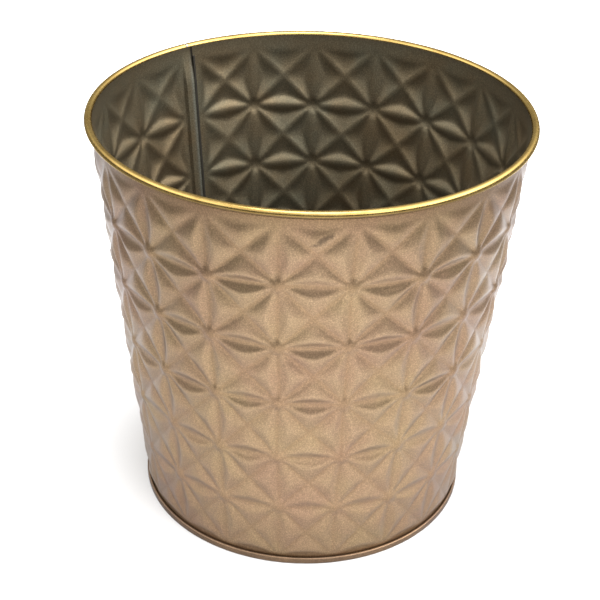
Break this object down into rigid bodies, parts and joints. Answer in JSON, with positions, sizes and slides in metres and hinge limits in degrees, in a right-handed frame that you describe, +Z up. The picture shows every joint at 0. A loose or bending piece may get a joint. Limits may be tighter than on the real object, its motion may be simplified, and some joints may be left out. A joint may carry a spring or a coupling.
{
  "type": "cachepot",
  "caption": "Tapered sheet-metal cachepot with an embossed star lattice, a lock side seam, a gold rolled rim over a wire and a recessed base pan held by a double seam.",
  "frame": {"origin": "centre of the resting plane, on the pot's axis", "axes": "+Z up along the pot's axis, +Y towards the side seam, -Y is the front"},
  "size_m": [0.16, 0.16, 0.155],
  "materials": {
    "wall_paint": "satin bronze metallic paint, darker inside",
    "rim_gold": "glossy gold lacquer",
    "wire_steel": "drawn steel wire",
    "base_paint": "satin bronze metallic paint",
    "seal_compound": "dark matte sealing compound"
  },
  "bodies": {
    "root": {"wall_sheet": "wall_paint", "rim_bead": "rim_gold", "rim_wire": "wire_steel", "base_pan": "base_paint", "base_seal": "seal_compound", "side_seal": "seal_compound"}
  },
  "joints": []
}
